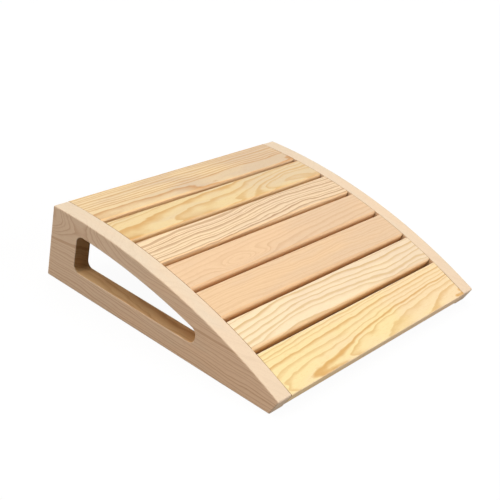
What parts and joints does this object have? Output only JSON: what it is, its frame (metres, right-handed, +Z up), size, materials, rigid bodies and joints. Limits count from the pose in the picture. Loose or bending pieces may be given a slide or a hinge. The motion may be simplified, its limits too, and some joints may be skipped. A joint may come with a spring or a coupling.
{
  "type": "slant board",
  "caption": "Arched pine slant board: spaced slats between side panels with rounded hand holes, curving down from a tall rear edge to a thin front edge.",
  "frame": {"origin": "on the floor, under the centre of the board's outer box", "axes": "+X across the board, from the left panel to the right one as seen from the low edge; +Y from the low front edge to the tall rear edge; +Z up"},
  "size_m": [0.35, 0.3037, 0.0783],
  "materials": {
    "pine_panel": "sanded, unvarnished pine",
    "pine_golden": "sanded pine, golden with wavy growth rings",
    "pine_striped": "sanded pine with close straight red-brown rings",
    "pine_rose": "sanded pine, peach coloured with faint rings",
    "pine_pale": "sanded pine, pale cream with thin golden rings",
    "beech_dowel": "plain beech dowel rod"
  },
  "bodies": {
    "root": {"left_dowels": "beech_dowel", "left_side_panel": "pine_panel", "right_dowels": "beech_dowel", "right_side_panel": "pine_panel", "slat_1_rear": "pine_golden", "slat_2": "pine_golden", "slat_3": "pine_striped", "slat_4": "pine_rose", "slat_5": "pine_rose", "slat_6": "pine_pale", "slat_7_front": "pine_golden"}
  },
  "joints": []
}
